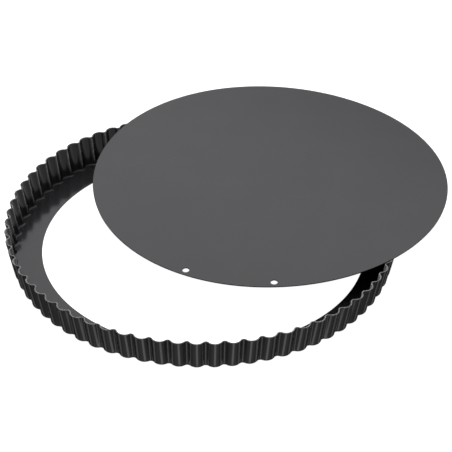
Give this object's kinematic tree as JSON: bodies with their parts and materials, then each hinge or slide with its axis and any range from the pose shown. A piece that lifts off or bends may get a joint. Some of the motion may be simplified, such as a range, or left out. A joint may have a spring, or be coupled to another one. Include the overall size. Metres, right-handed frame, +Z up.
{
  "type": "tart pan",
  "caption": "Round fluted tart pan: a pressed ring with a leaning fluted wall and a flat inner ledge, and a loose flat base lying across its rim.",
  "frame": {"origin": "on the ring's axis, at the underside of its ledge", "axes": "+Z up, out of the ring's mouth; +X through the middle of a flute's lobe"},
  "size_m": [0.339, 0.3442, 0.0259],
  "materials": {
    "coated_steel_ring": "satin",
    "coated_steel_base": "satin"
  },
  "bodies": {
    "ring": {"ring": "coated_steel_ring"},
    "base": {"base": "coated_steel_base"}
  },
  "joints": [
    {"name": "base_lift", "type": "slide", "parent": "ring", "child": "base", "axis": [0, 0, 1], "range_m": [0, 0.12]}
  ]
}
